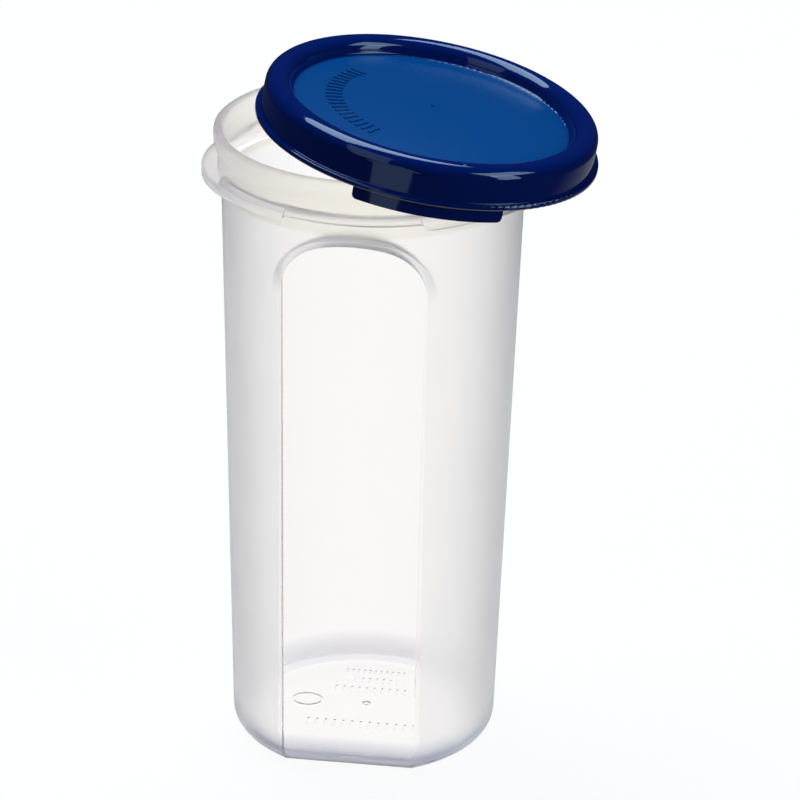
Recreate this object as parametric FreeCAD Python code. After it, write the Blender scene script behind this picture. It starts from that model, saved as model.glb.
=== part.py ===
import FreeCAD, Part
import math
import os

os.makedirs("parts", exist_ok=True)

# A tall round storage jar with a push-on lid. Lengths in millimetres, angles in degrees.
# Origin: centre of the foot, on the table. Z runs up the jar, -Y is the window side,
# and the finger ears stand out along X. The lid lies tipped on the lip, as it is left when half taken off.

# Jar: height, wall and foot
jar_height = 188.0
foot_radius = 38.5
shoulder_radius = 43.05
jar_wall = 1.4
jar_floor = 2.0
foot_round = 6.5

# Jar: flat window panel let into the round wall, with an arched top, some way under the top of the lip
window_recess = 5.2
window_half_width = 20.6
window_drop = 19.6
crown_radius = 33.0
window_corner_radius = 16.0

# Jar: neck, which stands out a little from the wall under it, and lip
neck_step = 0.95
neck_wall = 1.4
lip_flare = 1.2
lip_flare_low = 7.8
lip_flare_high = 3.2
lip_flare_round = 8.0
lip_round = 0.85
mouth_step_height = 2.2

# Jar: collar ridge all round, a lug along each side, and an ear in the middle of each lug
ridge_drop = 9.8
ridge_height = 2.9
ridge_reach = 1.3
ridge_round = 0.45
lug_reach = 2.2
lug_height = 4.6
lug_bevel = 1.1
lug_top_bevel = 1.6
lug_corner_round = 3.8
lug_gap_half_angle = 24.6
ear_drop = 1.7
ear_offset = 12.0
ear_reach = 4.7
ear_height = 3.5
ear_round = 0.6
ear_seat_half_angle = 28.5

# Lid: the ring over the lip, the skirt and its bead
lid_wall = 1.35
ring_width = 7.3
ring_round = 3.55
skirt_gap = 0.75
roof_gap = 0.45
skirt_flare = 0.25
bead_reach = 1.4
bead_height = 1.6
bead_round = 0.55
snap_catch = 0.4
snap_middle = 3.6
snap_half_height = 1.1

# Lid: the sunk panel, a little domed, and the plug ring under it
panel_depth = 4.3
panel_thickness = 2.0
panel_crown = 2.0
panel_corner_round = 1.0
plug_gap = 0.3
plug_wall = 1.3
plug_depth = 2.3
plug_shoulder = 2.1
plug_round = 0.4

# Lid: the lifting tab, which hangs in front of the gap between the lugs when the lid is shut
tab_gap = 1.3
tab_wall = 1.25
tab_drop = 3.75
tab_half_angle = 25.7
tab_corner_round = 1.4

# Lid: raised bars on an arc of the panel, and the small nub where the plastic was let into the mould
bar_count = 21
bar_radius = 25.6
bar_length = 4.6
bar_width = 0.9
bar_raise = 0.35
bar_first_angle = 138.5
bar_span_angle = 95.0
lid_gate_radius = 0.6
lid_gate_raise = 0.3

# Jar: marks let into the underside of the floor: an oval ring, rows of bars and the gate nub in its well.
# A row's place and half width, and its bars' length, are shares of the foot's radius.
mark_depth = 0.3
oval_long_radius = 4.6
oval_short_radius = 3.9
oval_line = 0.5
oval_x = -17.9
oval_y = 7.3
foot_row_counts = (11, 8, 10, 13)
foot_row_place_shares = (0.72, 0.57, 0.41, -0.165)
foot_row_width_shares = (0.225, 0.19, 0.27, 0.41)
foot_bar_length_shares = (0.042, 0.075, 0.08, 0.104)
foot_bar_width = 0.6
jar_gate_y = 7.2
jar_gate_radius = 0.7
jar_gate_raise = 0.3
jar_gate_well_radius = 1.3
jar_gate_well_depth = 0.5

# Where the loose lid lies: pushed sideways, turned a little, tipped down past the +X side of the lip
lid_shift_x = 15.1
lid_shift_y = -1.8
lid_turn_angle = 8.2
lid_tilt_angle = 9.65
lid_heading_angle = -4.85
seat_gap = 0.3
lip_sample_count = 720

# Length by which every cutting shape runs past what it cuts, and the distance that counts as none
overrun = 5.0
tolerance = 0.0005

# Sizes that follow from the ones above
window_top = jar_height - window_drop
neck_radius = shoulder_radius + neck_step
mouth_radius = neck_radius - neck_wall
lip_radius = neck_radius + lip_flare
ear_radius = neck_radius + ear_reach - ear_offset
ridge_top = jar_height - ridge_drop
ear_low = ridge_top - ear_drop - ear_height
ridge_low = ridge_top - ridge_height
ridge_radius = neck_radius + ridge_reach
lug_low = ridge_top - lug_height
lug_radius = neck_radius + lug_reach
lid_roof = ridge_drop + roof_gap
lid_crest = lid_roof + lid_wall
skirt_inner = lip_radius + skirt_gap
ring_outer = skirt_inner + lid_wall
recess_radius = ring_outer - ring_width
skirt_outer = ring_outer + skirt_flare
bead_radius = skirt_outer + bead_reach
snap_radius = lip_radius - snap_catch
panel_top = lid_crest - panel_depth
panel_under = panel_top - panel_thickness
plug_radius = mouth_radius - plug_gap
plug_low = panel_under - plug_depth
tab_inner = ridge_radius + tab_gap
tab_outer = tab_inner + tab_wall
gate_low = panel_top + panel_crown - panel_thickness
panel_bulge = panel_crown / 4

AXIS = FreeCAD.Vector(0, 0, 1)
CENTRE = FreeCAD.Vector(0, 0, 0)


def wall_radius(z):
    """Outer radius of the drafted round wall at height z."""
    return foot_radius + (shoulder_radius - foot_radius) * z / ridge_low


def rounded_edges(corners):
    """Edges of a closed outline whose corners are (point, rounding, bulge). Tangent arcs round the corners off,
    and the edge after a corner is a line, or an arc whose middle is the bulge above that line."""
    edges = []
    pieces = []
    count = len(corners)
    for index in range(count):
        point, rounding, bulge = corners[index]
        if rounding == 0:
            pieces.append((point, point, None, bulge))
            continue
        before = (corners[index - 1][0] - point).normalize()
        after = (corners[(index + 1) % count][0] - point).normalize()
        half_angle = before.getAngle(after) / 2
        tangent = rounding / math.tan(half_angle)
        inward = (before + after).normalize() * (rounding / math.sin(half_angle) - rounding)
        pieces.append((point + before * tangent, point + after * tangent, point + inward, bulge))
    for index in range(count):
        start, end, middle, bulge = pieces[index]
        if middle is not None:
            edges.append(Part.Arc(start, middle, end).toShape())
        following = pieces[(index + 1) % count][0]
        if bulge != 0:
            edges.append(Part.Arc(end, (end + following) / 2 + AXIS * bulge, following).toShape())
        elif not end.isEqual(following, tolerance):
            edges.append(Part.LineSegment(end, following).toShape())
    return edges


def radial_face(corners):
    """Flat face in the X-Z plane from (radius, height, rounding) corners, some with a bulge after them."""
    points = []
    for radius, height, rounding, *bulge in corners:
        points.append((FreeCAD.Vector(radius, 0, height), rounding, sum(bulge)))
    return Part.Face(Part.Wire(rounded_edges(points)))


def turned(corners, start_angle=0, sweep_angle=360):
    """Solid made by turning a radial face about the upright axis, from start_angle on."""
    face = radial_face(corners)
    face.rotate(CENTRE, AXIS, start_angle)
    return face.revolve(CENTRE, AXIS, sweep_angle)


def radial_edges_at(solid, height):
    """The straight edges of a turned sector that lie at one height."""
    found = []
    for edge in solid.Edges:
        level = all(abs(vertex.Z - height) < tolerance for vertex in edge.Vertexes)
        if level and isinstance(edge.Curve, Part.Line):
            found.append(edge)
    return found


def window_outline(margin, low):
    """Arched window outline in the X-Z plane: two straight sides, two shoulders and a crown."""
    half_width = window_half_width + margin
    crown = crown_radius + margin
    corner = window_corner_radius + margin
    crown_centre_z = window_top - crown_radius
    corner_centre_x = half_width - corner
    centre_distance = crown - corner
    corner_centre_z = crown_centre_z + math.sqrt(centre_distance ** 2 - corner_centre_x ** 2)
    joint_angle = math.atan2(corner_centre_z - crown_centre_z, corner_centre_x)

    def on_corner(side, angle):
        x = corner_centre_x + corner * math.cos(angle)
        return FreeCAD.Vector(side * x, 0, corner_centre_z + corner * math.sin(angle))

    crown_point = FreeCAD.Vector(0, 0, crown_centre_z + crown)
    right = [on_corner(1, angle) for angle in (0, joint_angle / 2, joint_angle)]
    left = [on_corner(-1, angle) for angle in (joint_angle, joint_angle / 2, 0)]
    low_right = FreeCAD.Vector(half_width, 0, low)
    low_left = FreeCAD.Vector(-half_width, 0, low)
    return Part.Wire([
        Part.LineSegment(low_right, right[0]).toShape(),
        Part.Arc(*right).toShape(),
        Part.Arc(right[2], crown_point, left[0]).toShape(),
        Part.Arc(*left).toShape(),
        Part.LineSegment(left[2], low_left).toShape(),
        Part.LineSegment(low_left, low_right).toShape(),
    ])


def window_tool(inset, floor, foot):
    """What the window takes off a round body: all that lies in front of the flat panel, which leans with the
    wall, and of the rounding at the panel's foot. The inset carries it inwards by a wall's thickness."""
    front = -shoulder_radius - overrun
    high = window_top + inset + overrun
    opening = Part.Face(window_outline(inset, floor - overrun)).extrude(FreeCAD.Vector(0, front, 0))

    def panel(z):
        return FreeCAD.Vector(-window_half_width - inset - overrun, window_recess + inset - wall_radius(z), z)

    back = FreeCAD.Vector(-window_half_width - inset - overrun, overrun, 0)
    corners = [
        (back + AXIS * floor, 0, 0),
        (panel(floor), foot, 0),
        (panel(high), 0, 0),
        (back + AXIS * high, 0, 0),
    ]
    kept = Part.Face(Part.Wire(rounded_edges(corners)))
    width = FreeCAD.Vector(2 * (window_half_width + inset + overrun), 0, 0)
    return opening.cut(kept.extrude(width))


def jar_envelope():
    """The jar's outside as a full turned solid, from the rounded foot to the rounded lip."""
    return turned([
        (0, 0, 0),
        (foot_radius, 0, foot_round),
        (shoulder_radius, ridge_low, 0),
        (ridge_radius, ridge_low, ridge_round),
        (ridge_radius, ridge_top, ridge_round),
        (neck_radius, ridge_top, ridge_round),
        (neck_radius, jar_height - lip_flare_low, lip_flare_round),
        (lip_radius, jar_height - lip_flare_high, lip_flare_round),
        (lip_radius, jar_height, lip_round),
        (0, jar_height, 0),
    ])


def jar_cavity():
    """The space inside the jar: drafted wall, a step out to the mouth, and the lip's inner rounding."""
    step_low = ridge_top - mouth_step_height
    cavity = turned([
        (0, jar_floor, 0),
        (wall_radius(jar_floor) - jar_wall, jar_floor, foot_round - jar_wall),
        (wall_radius(step_low) - jar_wall, step_low, lip_round),
        (mouth_radius, ridge_top, lip_round),
        (mouth_radius, jar_height, lip_round),
        (mouth_radius + lip_round, jar_height, 0),
        (mouth_radius + lip_round, jar_height + overrun, 0),
        (0, jar_height + overrun, 0),
    ])
    return cavity.cut(window_tool(jar_wall, jar_floor, foot_round - jar_wall))


def lug(side):
    """Thick band along one side of the collar, bevelled above and below, with its ends well rounded off."""
    sweep = 180 - 2 * lug_gap_half_angle
    start = lug_gap_half_angle - 90 if side > 0 else lug_gap_half_angle + 90
    band = turned([
        (shoulder_radius - jar_wall, lug_low, 0),
        (lug_radius + overrun, lug_low, 0),
        (lug_radius + overrun, ridge_top, 0),
        (shoulder_radius - jar_wall, ridge_top, 0),
    ], start, sweep)
    bevelled = turned([
        (0, lug_low, 0),
        (lug_radius - lug_bevel, lug_low, 0),
        (lug_radius, lug_low + 2 * lug_bevel, ridge_round),
        (lug_radius, ridge_top - lug_top_bevel, ridge_round),
        (ridge_radius, ridge_top, ridge_round),
        (0, ridge_top, 0),
    ])
    return band.makeFillet(lug_corner_round, radial_edges_at(band, lug_low)).common(bevelled)


def ear(side):
    """Finger ear: a crescent of a disc whose centre is moved out to one side, a little under the ridge's top."""
    disc = Part.makeCylinder(ear_radius, ear_height, FreeCAD.Vector(side * ear_offset, 0, ear_low))
    rims = [edge for edge in disc.Edges if isinstance(edge.Curve, Part.Circle)]
    return disc.makeFillet(ear_round, rims)


def ear_seat(side):
    """What is taken off the lug and the ridge over an ear, so that the ear's flat top runs in to the neck."""
    start = -ear_seat_half_angle if side > 0 else 180 - ear_seat_half_angle
    return turned([
        (neck_radius, ridge_top - ear_drop, 0),
        (lug_radius + overrun, ridge_top - ear_drop, 0),
        (lug_radius + overrun, ridge_top + ridge_round, 0),
        (neck_radius, ridge_top + ridge_round, 0),
    ], start, 2 * ear_seat_half_angle)


def oval_mark(depth):
    """Oval ring, as a cutter that reaches the depth into the underside."""
    centre = FreeCAD.Vector(oval_x, oval_y, -overrun)
    outer, inner = [
        Part.Face(Part.Wire(Part.Ellipse(centre, oval_long_radius - line, oval_short_radius - line).toShape()))
        for line in (0, oval_line)
    ]
    return outer.cut(inner).extrude(AXIS * (overrun + depth))


def bar_row(count, place, half_width, length):
    """Row of short bars, as cutters."""
    bars = []
    for index in range(count):
        x = half_width * (2 * index / (count - 1) - 1)
        corner = FreeCAD.Vector(x - foot_bar_width / 2, place - length / 2, -overrun)
        bars.append(Part.makeBox(foot_bar_width, length, overrun + mark_depth, corner))
    return bars


def gate_well():
    """Round well with the gate's nub left standing in it, as a cutter."""
    place = FreeCAD.Vector(0, jar_gate_y, -overrun)
    well = Part.makeCylinder(jar_gate_well_radius, overrun + jar_gate_well_depth, place)
    nub_low = FreeCAD.Vector(0, jar_gate_y, jar_gate_well_depth - jar_gate_raise)
    return well.cut(Part.makeCylinder(jar_gate_radius, overrun, nub_low))


def foot_marks():
    """Everything that is let into the underside of the floor."""
    rows = zip(foot_row_counts, foot_row_place_shares, foot_row_width_shares, foot_bar_length_shares)
    marks = [oval_mark(mark_depth), gate_well()]
    for count, place, width, length in rows:
        marks += bar_row(count, place * foot_radius, width * foot_radius, length * foot_radius)
    return marks


def container_body():
    """The jar: one moulding of wall, window panel, floor, neck, lip, collar, lugs and ears."""
    outside = jar_envelope().cut(window_tool(0, 0, foot_round))
    sides = [shape for side in (1, -1) for shape in (lug(side), ear(side))]
    seats = [ear_seat(side) for side in (1, -1)]
    return outside.fuse(sides).cut([jar_cavity()] + seats + foot_marks()).removeSplitter()


def lid_tab():
    """Lifting tab under the front of the bead, with rounded lower corners."""
    tab = turned([
        (tab_inner, -tab_drop, 0),
        (tab_outer, -tab_drop, 0),
        (tab_outer, bead_height / 2, 0),
        (tab_inner, bead_height / 2, 0),
    ], -90 - tab_half_angle, 2 * tab_half_angle)
    return tab.makeFillet(tab_corner_round, radial_edges_at(tab, -tab_drop))


def domed_disc(rise):
    """The upper half of the domed panel's thickness, made higher by the rise."""
    middle = panel_top - panel_thickness / 2
    return turned([
        (0, panel_top + panel_crown + rise, 0, panel_bulge),
        (recess_radius, panel_top + rise, 0),
        (recess_radius, middle, 0, panel_bulge),
        (0, middle + panel_crown, 0),
    ])


def lid_bars():
    """Raised bars on an arc of the panel: they stand the same height above the dome all along."""
    bars = []
    for index in range(bar_count):
        bar = Part.makeBox(bar_length, bar_width, lid_crest, FreeCAD.Vector(bar_radius, -bar_width / 2, 0))
        bar.rotate(CENTRE, AXIS, bar_first_angle + bar_span_angle * index / (bar_count - 1))
        bars.append(bar)
    return domed_disc(bar_raise).common(Part.Compound(bars))


def lid_in_its_own_frame():
    """The lid level, with its axis on Z and the underside of its bead at height zero."""
    shell = turned([
        (0, panel_top + panel_crown, 0, panel_bulge),
        (recess_radius, panel_top, panel_corner_round),
        (recess_radius, lid_crest, ring_round),
        (ring_outer, lid_crest, ring_round),
        (skirt_outer, bead_height, bead_round / 2),
        (bead_radius, bead_height, bead_round),
        (bead_radius, 0, bead_round),
        (skirt_inner, 0, bead_round / 2),
        (skirt_inner, snap_middle - snap_half_height, 0),
        (snap_radius, snap_middle, bead_round),
        (skirt_inner, snap_middle + snap_half_height, 0),
        (skirt_inner, lid_roof, ring_round - lid_wall),
        (recess_radius + lid_wall, lid_roof, ring_round - lid_wall),
        (recess_radius + lid_wall, panel_under + plug_shoulder, 0),
        (plug_radius, panel_under, plug_round),
        (plug_radius, plug_low, plug_round),
        (plug_radius - plug_wall, plug_low, plug_round),
        (plug_radius - plug_wall, panel_under, plug_round, panel_bulge),
        (0, panel_under + panel_crown, 0),
    ])
    gate = Part.makeCylinder(lid_gate_radius, lid_gate_raise + panel_thickness, AXIS * gate_low)
    return shell.fuse([lid_tab(), lid_bars(), gate]).removeSplitter()


def lid_underside(radius, angle):
    """Height of the lid's lowest surface over a spot given by its radius and its angle from the tab."""
    if radius < plug_radius - plug_wall:
        return panel_under + panel_crown * (1 - (radius / (plug_radius - plug_wall)) ** 2)
    if radius < plug_radius:
        return plug_low
    if radius < snap_radius:
        return lid_roof
    if radius < skirt_inner:
        return snap_middle - snap_half_height
    if tab_inner <= radius <= tab_outer and abs(angle) <= tab_half_angle:
        return -tab_drop
    if radius <= bead_radius:
        return 0
    return lid_crest


def lip_samples():
    """Points all round the top of the jar's lip: the flat's two edges and the outer side of its rounding."""
    rows = [
        (mouth_radius + lip_round, jar_height),
        (lip_radius - lip_round, jar_height),
        (lip_radius, jar_height - lip_round),
    ]
    for index in range(lip_sample_count):
        angle = 2 * math.pi * index / lip_sample_count
        for radius, height in rows:
            yield FreeCAD.Vector(radius * math.cos(angle), radius * math.sin(angle), height)


def resting_height(rotation):
    """Height at which the tipped lid's underside just clears the whole lip."""
    to_lid = rotation.inverted()
    steepness = rotation.multVec(AXIS).z
    height = jar_height
    for _ in range(4):
        rise = -lid_crest
        for sample in lip_samples():
            local = to_lid.multVec(sample - FreeCAD.Vector(lid_shift_x, lid_shift_y, height))
            radius = math.hypot(local.x, local.y)
            angle = math.degrees(math.atan2(local.x, -local.y))
            rise = max(rise, local.z - lid_underside(radius, angle))
        height += rise / steepness
    return height + seat_gap


def lid():
    """The lid where it lies: turned about its own axis, tipped, and lowered onto the lip."""
    heading = math.radians(lid_heading_angle)
    tilt_axis = FreeCAD.Vector(-math.sin(heading), math.cos(heading), 0)
    tilt = FreeCAD.Rotation(tilt_axis, lid_tilt_angle)
    rotation = tilt.multiply(FreeCAD.Rotation(AXIS, lid_turn_angle))
    place = FreeCAD.Vector(lid_shift_x, lid_shift_y, resting_height(rotation))
    shape = lid_in_its_own_frame()
    shape.Placement = FreeCAD.Placement(place, rotation)
    return shape


container_body().exportStep("parts/container_body.step")
lid().exportStep("parts/lid.step")
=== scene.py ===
import math

import bpy
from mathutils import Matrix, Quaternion, Vector

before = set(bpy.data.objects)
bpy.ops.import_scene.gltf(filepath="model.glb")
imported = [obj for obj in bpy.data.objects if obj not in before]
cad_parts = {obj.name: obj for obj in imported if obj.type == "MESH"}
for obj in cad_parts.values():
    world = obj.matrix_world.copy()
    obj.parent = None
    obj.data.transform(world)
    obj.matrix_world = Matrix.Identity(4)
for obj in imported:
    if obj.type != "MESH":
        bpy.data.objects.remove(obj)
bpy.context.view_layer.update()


# The jar is one moulding of natural polypropylene, which is milky and lets light through.
# The mould is finely etched inside and out, so the wall looks frosted. It is polished at the window panel,
# at the floor and round the end of the core at the back, so those are clear. The thick foot is milkier.

def linear(colour):
    """Linear colour with full alpha from an sRGB hex value."""
    channels = [int(colour[i:i + 2], 16) / 255 for i in (1, 3, 5)]
    return [c / 12.92 if c <= 0.04045 else ((c + 0.055) / 1.055) ** 2.4 for c in channels] + [1]


def add_node(material, kind, inputs, **settings):
    """Adds a shader node with its own settings. An input takes a value, or a socket to link it to."""
    tree = material.node_tree
    node = tree.nodes.new("ShaderNode" + kind)
    for name, value in settings.items():
        setattr(node, name, value)
    for name, value in inputs.items():
        if isinstance(value, bpy.types.NodeSocket):
            tree.links.new(value, node.inputs[name])
        else:
            node.inputs[name].default_value = value
    return node


def new_material(name):
    """Empty node material."""
    material = bpy.data.materials.new(name)
    material.use_nodes = True
    material.node_tree.nodes.clear()
    return material


mm = 0.001
wall_thickness = 1.4 * mm
wall_slope = 0.026
foot_radius = 38.5 * mm
floor_level = 2.2 * mm
neck_level = 171 * mm
window_half_width = 20.6 * mm
window_corner_radius = 16 * mm
window_corner_height = 151.8 * mm
window_plane_offset = 33.3 * mm
panel_reach_share = 0.6
window_foot_half_width = 16.6 * mm
window_foot_height = 10 * mm
window_foot_radius = 4 * mm
arch_half_width = 1.2 * mm
arch_start, arch_full = 150 * mm, 158 * mm
arch_front = -26 * mm
core_end_level = 14 * mm
core_end_back = 15 * mm
back_milk_and_shade_share = 0.5
heel_start, heel_full = 11 * mm, 4 * mm
heel_shade_tint_start, heel_shade_tint_full = 20 * mm, 28 * mm
heel_clearness = 0.65
flow_mark_width = 12 * mm
flow_mark_detail = 3
finest_etching, coarsest_etching = 0.3, 0.4
bore_etching_share = 0.7
neck_roughness = 0.5
arch_roughness = 0.75
polished_roughness = 0.04

natural = new_material("natural_polypropylene_moulded")
place = add_node(natural, "TexCoord", {}).outputs["Object"]
folded = add_node(natural, "VectorMath", {0: place}, operation="ABSOLUTE").outputs[0]
level = add_node(natural, "SeparateXYZ", {0: place}).outputs["Z"]
back = add_node(natural, "SeparateXYZ", {0: place}).outputs["Y"]
off_middle = add_node(natural, "SeparateXYZ", {0: folded}).outputs["Y"]


def distance_past(point, corner_x, corner_z):
    """How far a point lies past the centre of a rounded corner, seen from the front."""
    any_depth = 1
    corner = (corner_x, any_depth, corner_z)
    offset = add_node(natural, "VectorMath", {0: point, 1: corner}, operation="SUBTRACT").outputs[0]
    beyond = add_node(natural, "VectorMath", {0: offset, 1: (0, 0, 0)}, operation="MAXIMUM").outputs[0]
    return add_node(natural, "VectorMath", {0: beyond}, operation="LENGTH").outputs["Value"]


# The window panel has rounded corners at the arch and at the foot, and a flat wall of its own.
past_arch = distance_past(folded, window_half_width - window_corner_radius, window_corner_height)
under_arch = add_node(natural, "Math", {0: past_arch, 1: window_corner_radius},
                      operation="LESS_THAN").outputs[0]
upside_down = add_node(natural, "VectorMath", {0: folded, 1: (1, 1, -1)}, operation="MULTIPLY").outputs[0]
past_foot = distance_past(upside_down, window_foot_half_width, -window_foot_height)
above_foot = add_node(natural, "Math", {0: past_foot, 1: window_foot_radius},
                      operation="LESS_THAN").outputs[0]
in_outline = add_node(natural, "Math", {0: under_arch, 1: above_foot}, operation="MULTIPLY").outputs[0]
outwards = (0, -1, -wall_slope)
depth = add_node(natural, "VectorMath", {0: place, 1: outwards}, operation="DOT_PRODUCT").outputs["Value"]
in_panel = add_node(natural, "Math", {
    0: depth,
    1: window_plane_offset - wall_thickness / 2,
    2: wall_thickness * panel_reach_share,
}, operation="COMPARE").outputs[0]
in_window = add_node(natural, "Math", {0: in_outline, 1: in_panel}, operation="MULTIPLY").outputs[0]
in_floor = add_node(natural, "Math", {0: level, 1: floor_level}, operation="LESS_THAN").outputs[0]

# The bore lies inside the middle of the wall. The end of the core is the low part of it, at the back.
flat = add_node(natural, "VectorMath", {0: place, 1: (1, 1, 0)}, operation="MULTIPLY").outputs[0]
radius = add_node(natural, "VectorMath", {0: flat}, operation="LENGTH").outputs["Value"]
wall_middle = add_node(natural, "Math", {0: level, 1: wall_slope, 2: foot_radius - wall_thickness / 2},
                       operation="MULTIPLY_ADD").outputs[0]
in_bore = add_node(natural, "Math", {0: radius, 1: wall_middle}, operation="LESS_THAN").outputs[0]
behind = add_node(natural, "Math", {0: back, 1: core_end_back}, operation="GREATER_THAN").outputs[0]
low = add_node(natural, "Math", {0: level, 1: core_end_level}, operation="LESS_THAN").outputs[0]
low_behind = add_node(natural, "Math", {0: behind, 1: low}, operation="MULTIPLY").outputs[0]
in_core_end = add_node(natural, "Math", {0: low_behind, 1: in_bore}, operation="MULTIPLY").outputs[0]
clear = add_node(natural, "Math", {0: in_window, 1: in_floor}, operation="MAXIMUM").outputs[0]
polished = add_node(natural, "Math", {0: clear, 1: in_core_end}, operation="MAXIMUM").outputs[0]

# The arch over the window is a thick shelf, which would guide the light away if it were smoother.
over_arch = add_node(natural, "Math", {
    0: past_arch,
    1: window_corner_radius + arch_half_width,
    2: arch_half_width,
}, operation="COMPARE").outputs[0]
high = add_node(natural, "MapRange", {
    "Value": level,
    "From Min": arch_start,
    "From Max": arch_full,
}).outputs[0]
near_window = add_node(natural, "Math", {0: back, 1: arch_front}, operation="LESS_THAN").outputs[0]
front_arch = add_node(natural, "Math", {0: over_arch, 1: near_window}, operation="MULTIPLY").outputs[0]
in_arch = add_node(natural, "Math", {0: front_arch, 1: high}, operation="MULTIPLY").outputs[0]

# The etching has wide flow marks. The neck and the arch are duller, and the bore is a little finer.
flow = add_node(natural, "TexNoise", {
    "Vector": place,
    "Scale": 1 / flow_mark_width,
    "Detail": flow_mark_detail,
}).outputs["Fac"]
etching = add_node(natural, "MapRange", {
    "Value": flow,
    "To Min": finest_etching,
    "To Max": coarsest_etching,
}).outputs[0]
in_neck = add_node(natural, "Math", {0: level, 1: neck_level}, operation="GREATER_THAN").outputs[0]
with_neck = add_node(natural, "Mix", {
    "Factor": in_neck,
    "A": etching,
    "B": neck_roughness,
}).outputs["Result"]
outer = add_node(natural, "Mix", {
    "Factor": in_arch,
    "A": with_neck,
    "B": arch_roughness,
}).outputs["Result"]
inner = add_node(natural, "Math", {0: outer, 1: bore_etching_share}, operation="MULTIPLY").outputs[0]
frosting = add_node(natural, "Mix", {"Factor": in_bore, "A": outer, "B": inner}).outputs["Result"]
roughness = add_node(natural, "Mix", {
    "Factor": polished,
    "A": frosting,
    "B": polished_roughness,
}).outputs["Result"]

# The thick heel of the foot is milkier and a little grey, and half as much at the back. The grey is partly
# the thick plastic and partly painted shade for the jar's contact shadow seen through the foot.
in_foot = add_node(natural, "MapRange", {
    "Value": level,
    "From Min": heel_start,
    "From Max": heel_full,
}).outputs[0]
over_floor = add_node(natural, "Math", {0: 1, 1: in_floor}, operation="SUBTRACT").outputs[0]
milk_and_shade_share = add_node(natural, "Math", {0: behind, 1: back_milk_and_shade_share - 1, 2: 1},
                      operation="MULTIPLY_ADD").outputs[0]
heel_share = add_node(natural, "Math", {0: over_floor, 1: milk_and_shade_share}, operation="MULTIPLY").outputs[0]
in_heel = add_node(natural, "Math", {0: in_foot, 1: heel_share}, operation="MULTIPLY").outputs[0]
clearness = add_node(natural, "MapRange", {
    "Value": in_heel,
    "To Min": 1,
    "To Max": heel_clearness,
}).outputs[0]
# The grey, partly painted shade, is laid only on the front and back of the heel, not on its sides.
front_or_back = add_node(natural, "MapRange", {
    "Value": off_middle,
    "From Min": heel_shade_tint_start,
    "From Max": heel_shade_tint_full,
}).outputs[0]
heel_grey_and_painted_shade = add_node(natural, "Math", {0: in_heel, 1: front_or_back}, operation="MULTIPLY").outputs[0]

# The plastic is faintly warm, most at the neck. The grey mixed into the heel's front and back, with a little
# less red and green, is partly the thick plastic and partly painted shade.
warm = add_node(natural, "Mix", {"Factor": in_neck, "A": linear("#FFFEFC"), "B": linear("#FFFCF3")},
                data_type="RGBA").outputs["Result"]
colour = add_node(natural, "Mix", {"Factor": heel_grey_and_painted_shade, "A": warm, "B": linear("#E6E2E8")},
                  data_type="RGBA").outputs["Result"]

shader = add_node(natural, "BsdfPrincipled", {
    "Base Color": colour,
    "Roughness": roughness,
    "IOR": 1.49,
    "Transmission Weight": clearness,
    "Specular Tint": linear("#404040"),
})
absorption = add_node(natural, "VolumeAbsorption", {"Color": linear("#DEDDFE"), "Density": 26})
add_node(natural, "OutputMaterial", {"Surface": shader.outputs[0], "Volume": absorption.outputs[0]})
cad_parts["container_body"].material_slots[0].material = natural


# The lid is one moulding of blue polypropylene, laid tipped on the lip of the jar. Its ring, skirt and tab
# come out of a polished mould and are glossy, and the sunk panel comes off a finely eroded one, so it is
# matt.
# The one plastic gets two blues: the panel's lighter blue is painted light, and the darker blue of the ring,
# skirt and tab is painted shade. The panel's grain is drawn at 0.5 mm, coarser than the real one, so that it
# shows.

lid_place = Vector((15.1, -1.8, 186.83)) * mm
lid_tilt, lid_heading, lid_turn = (math.radians(angle) for angle in (9.65, -4.85, 8.2))
panel_radius = 39.4 * mm
panel_edge = 0.5 * mm
panel_height = 6.3 * mm
panel_grain = 0.5 * mm
grain_detail = 2
grain_depth = 0.05 * mm
ring_roughness, panel_roughness = 0.06, 0.2

lid_blue = new_material("blue_polypropylene_moulded")
place = add_node(lid_blue, "TexCoord", {}).outputs["Object"]
tilt_axis = Vector((-math.sin(lid_heading), math.cos(lid_heading), 0))
lid_rotation = Quaternion(tilt_axis, lid_tilt) @ Quaternion((0, 0, 1), lid_turn)
in_lid = add_node(lid_blue, "Mapping", {
    "Vector": place,
    "Location": lid_place,
    "Rotation": lid_rotation.to_euler(),
}, vector_type="TEXTURE").outputs[0]
level = add_node(lid_blue, "SeparateXYZ", {0: in_lid}).outputs["Z"]
flat = add_node(lid_blue, "VectorMath", {0: in_lid, 1: (1, 1, 0)}, operation="MULTIPLY").outputs[0]
radius = add_node(lid_blue, "VectorMath", {0: flat}, operation="LENGTH").outputs["Value"]
inside_ring = add_node(lid_blue, "MapRange", {
    "Value": radius,
    "From Min": panel_radius,
    "From Max": panel_radius - panel_edge,
}).outputs[0]
on_top = add_node(lid_blue, "Math", {0: level, 1: panel_height}, operation="GREATER_THAN").outputs[0]
matt_and_painted_lighter_panel = add_node(lid_blue, "Math", {0: inside_ring, 1: on_top}, operation="MULTIPLY").outputs[0]
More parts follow.
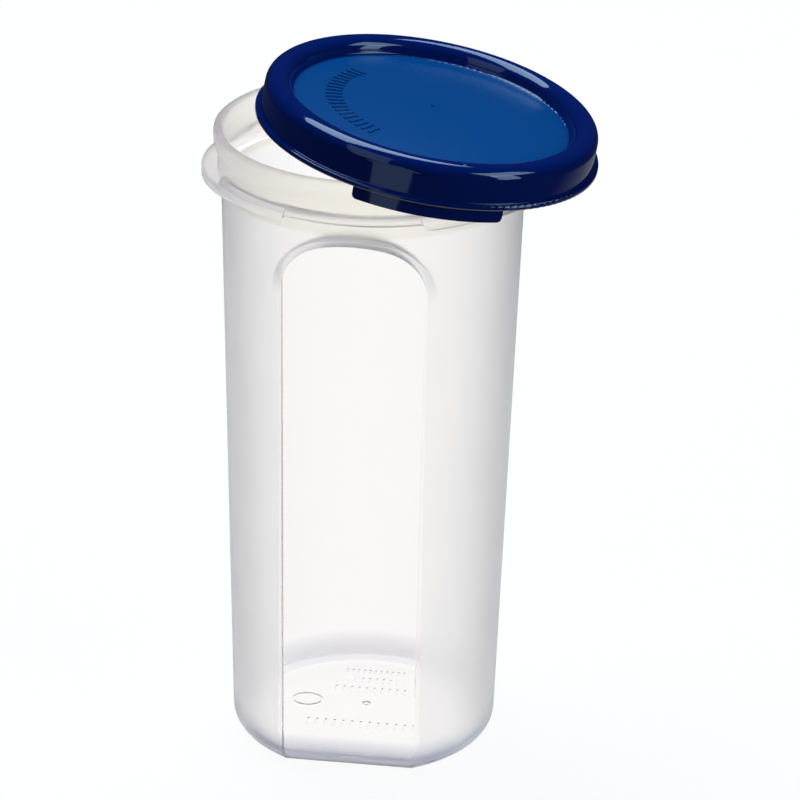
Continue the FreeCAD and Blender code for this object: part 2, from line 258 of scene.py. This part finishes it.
# Painted light and shade: the matt panel gets a lighter blue than the glossy ring, skirt and tab of the same
# plastic.
colour = add_node(lid_blue, "Mix", {"Factor": matt_and_painted_lighter_panel, "A": linear("#021B5B"), "B": linear("#004480")},
                  data_type="RGBA").outputs["Result"]
roughness = add_node(lid_blue, "Mix", {
    "Factor": matt_and_painted_lighter_panel,
    "A": ring_roughness,
    "B": panel_roughness,
}).outputs["Result"]
grain = add_node(lid_blue, "TexNoise", {
    "Vector": place,
    "Scale": 1 / panel_grain,
    "Detail": grain_detail,
}).outputs["Fac"]
grain_height = add_node(lid_blue, "Math", {0: grain, 1: matt_and_painted_lighter_panel}, operation="MULTIPLY").outputs[0]
bump = add_node(lid_blue, "Bump", {
    "Height": grain_height,
    "Distance": grain_depth,
    "Strength": 1,
}).outputs[0]
shader = add_node(lid_blue, "BsdfPrincipled", {
    "Base Color": colour,
    "Roughness": roughness,
    "IOR": 1.49,
    "Normal": bump,
})
add_node(lid_blue, "OutputMaterial", {"Surface": shader.outputs[0]})
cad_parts["lid"].material_slots[0].material = lid_blue


# The table is a plain pale sheet. The eye, and whatever is seen through the jar, finds it white, with the
# jar's soft shadow on it. For all other light it is painted dark grey, painted shade for a studio hung with
# dark cloth, but for a painted bright patch close round the jar, and a painted pool of light beside it that
# only gloss finds.

table_width = 8
table_drop = 0.1 * mm
eye_white_share = 0.92
through_white_share = 0.98
pool_white_share = 0.95
pool_centre = (-0.06, 0.08, 0)
pool_edge, pool_core = 0.42, 0.2
near_edge, near_core = 0.16, 0.1

bpy.ops.mesh.primitive_plane_add(size=table_width)
table = bpy.context.object
table.name = "table"
table.location.z = -table_drop
pale = new_material("pale_table")
rays = add_node(pale, "LightPath", {}).outputs
to_eye, through, gloss = rays["Is Camera Ray"], rays["Is Transmission Ray"], rays["Is Glossy Ray"]
seen = add_node(pale, "Math", {0: to_eye, 1: through}, operation="MAXIMUM").outputs[0]
eye_share = add_node(pale, "Math", {0: to_eye, 1: eye_white_share}, operation="MULTIPLY").outputs[0]
through_share = add_node(pale, "Math", {0: through, 1: through_white_share}, operation="MULTIPLY").outputs[0]
seen_share = add_node(pale, "Math", {0: eye_share, 1: through_share}, operation="MAXIMUM").outputs[0]
place = add_node(pale, "TexCoord", {}).outputs["Object"]
from_pool = add_node(pale, "VectorMath", {0: place, 1: pool_centre}, operation="SUBTRACT").outputs[0]
pool_distance = add_node(pale, "VectorMath", {0: from_pool}, operation="LENGTH").outputs["Value"]
# Painted light: a pool of white on the table beside the jar, found only by gloss.
in_pool = add_node(pale, "MapRange", {
    "Value": pool_distance,
    "From Min": pool_edge,
    "From Max": pool_core,
}).outputs[0]
painted_gloss_pool = add_node(pale, "Math", {0: in_pool, 1: gloss}, operation="MULTIPLY").outputs[0]
pool_share = add_node(pale, "Math", {0: painted_gloss_pool, 1: pool_white_share}, operation="MULTIPLY").outputs[0]
white_share = add_node(pale, "Math", {0: seen_share, 1: pool_share}, operation="MAXIMUM").outputs[0]
# Painted light: a bright patch on the table close round the jar, for all light but the eye's and what shines
# through.
jar_distance = add_node(pale, "VectorMath", {0: place}, operation="LENGTH").outputs["Value"]
close = add_node(pale, "MapRange", {
    "Value": jar_distance,
    "From Min": near_edge,
    "From Max": near_core,
}).outputs[0]
painted_light_near_jar = add_node(pale, "Math", {0: close, 1: painted_gloss_pool}, operation="MAXIMUM").outputs[0]
# Painted shade elsewhere: for that light the table is dark grey away from the patch and the pool.
painted_studio_light_and_shade = add_node(pale, "Mix", {"Factor": painted_light_near_jar, "A": linear("#303030"), "B": linear("#F0F0F0")},
                        data_type="RGBA").outputs["Result"]
shade = add_node(pale, "Mix", {"Factor": seen, "A": painted_studio_light_and_shade, "B": linear("#FAFAFA")},
                 data_type="RGBA").outputs["Result"]
matt = add_node(pale, "BsdfDiffuse", {"Color": shade})
glow = add_node(pale, "Emission", {"Color": linear("#FFFFFF"), "Strength": 1})
mixed = add_node(pale, "MixShader", {0: white_share, 1: matt.outputs[0], 2: glow.outputs[0]})
add_node(pale, "OutputMaterial", {"Surface": mixed.outputs[0]})
table.data.materials.append(pale)


# The studio: a white surround for the eye and for what shines through the jar, dark for all other light.
# A large softbox hangs above and behind, a tall one with a strip under it stands on the right, and two grey
# cards stand at the left front. A warm fill from above leaves no reflection.

scene = bpy.context.scene
dark_surround = 0.015
white_surround = 1

studio = bpy.data.worlds.new("studio")
scene.world = studio
studio.use_nodes = True
studio.node_tree.nodes.clear()
rays = add_node(studio, "LightPath", {}).outputs
seen = add_node(studio, "Math", {0: rays["Is Camera Ray"], 1: rays["Is Transmission Ray"]},
                operation="MAXIMUM").outputs[0]
strength = add_node(studio, "Mix", {
    "Factor": seen,
    "A": dark_surround,
    "B": white_surround,
}).outputs["Result"]
sky = add_node(studio, "Background", {"Color": linear("#FFFFFF"), "Strength": strength})
add_node(studio, "OutputWorld", {"Surface": sky.outputs[0]})

# Each lamp: angle round the jar from the front, angle above it, distance, half width and half height as
# angles, roll, radiance and colour.
lamp_aim = Vector((0, 0, 0.18))
lamps = {
    "back_softbox": (-146, 69, 2, 28, 14.5, 6, 7.2, "#BFE2FF"),
    "right_softbox": (72, 33, 2, 17, 11, 8, 4.4, "#BFE2FF"),
    "right_strip": (64, 9, 2, 8, 15, 0, 4.4, "#BFE2FF"),
    "left_panel": (-29, 30, 2, 14, 28, 0, 0.9, "#BFE2FF"),
    "left_card": (-13, -9, 0.5, 15, 12, 25, 0.78, "#BFE2FF"),
    "overhead_fill": (-140, 62, 2, 24, 24, 0, 1.7, "#FFCF9C"),
}
for name, (around, above, distance, half_across, half_up, roll, radiance, tint) in lamps.items():
    light = bpy.data.lights.new(name, "AREA")
    light.shape = "RECTANGLE"
    light.size = 2 * distance * math.tan(math.radians(half_across))
    light.size_y = 2 * distance * math.tan(math.radians(half_up))
    light.energy = math.pi * light.size * light.size_y * radiance
    light.color = linear(tint)[:3]
    lamp = bpy.data.objects.new(name, light)
    scene.collection.objects.link(lamp)
    lamp.visible_camera = False
    lamp.visible_glossy = name != "overhead_fill"
    turn, lift = math.radians(around), math.radians(above)
    aside = Vector((math.sin(turn) * math.cos(lift), -math.cos(turn) * math.cos(lift), math.sin(lift)))
    lamp.location = lamp_aim + aside * distance
    lamp.rotation_mode = "QUATERNION"
    lamp.rotation_quaternion = (-aside).to_track_quat("-Z", "Y") @ Quaternion((0, 0, 1), math.radians(roll))


# The camera stands in front and a little to the right, and looks down on the lid through a long lens.
# It leans a little to one side. Its distance is measured from the middle of the jar's foot.

camera_azimuth, camera_elevation, camera_roll = (math.radians(angle) for angle in (7.5, 28.1895, 1.2275))
camera_distance = 1.316
camera_aim = Vector((0.0089592, 0, 0.1044814))
focal_length = 197.894

camera_data = bpy.data.cameras.new("camera")
camera_data.lens = focal_length
camera = bpy.data.objects.new("camera", camera_data)
scene.collection.objects.link(camera)
towards = Vector((
    math.sin(camera_azimuth) * math.cos(camera_elevation),
    -math.cos(camera_azimuth) * math.cos(camera_elevation),
    math.sin(camera_elevation),
))
camera.location = towards * camera_distance
camera.rotation_mode = "QUATERNION"
lean = Quaternion((0, 0, 1), camera_roll)
camera.rotation_quaternion = (camera_aim - camera.location).to_track_quat("-Z", "Y") @ lean
scene.camera = camera
scene.view_settings.view_transform = "Standard"
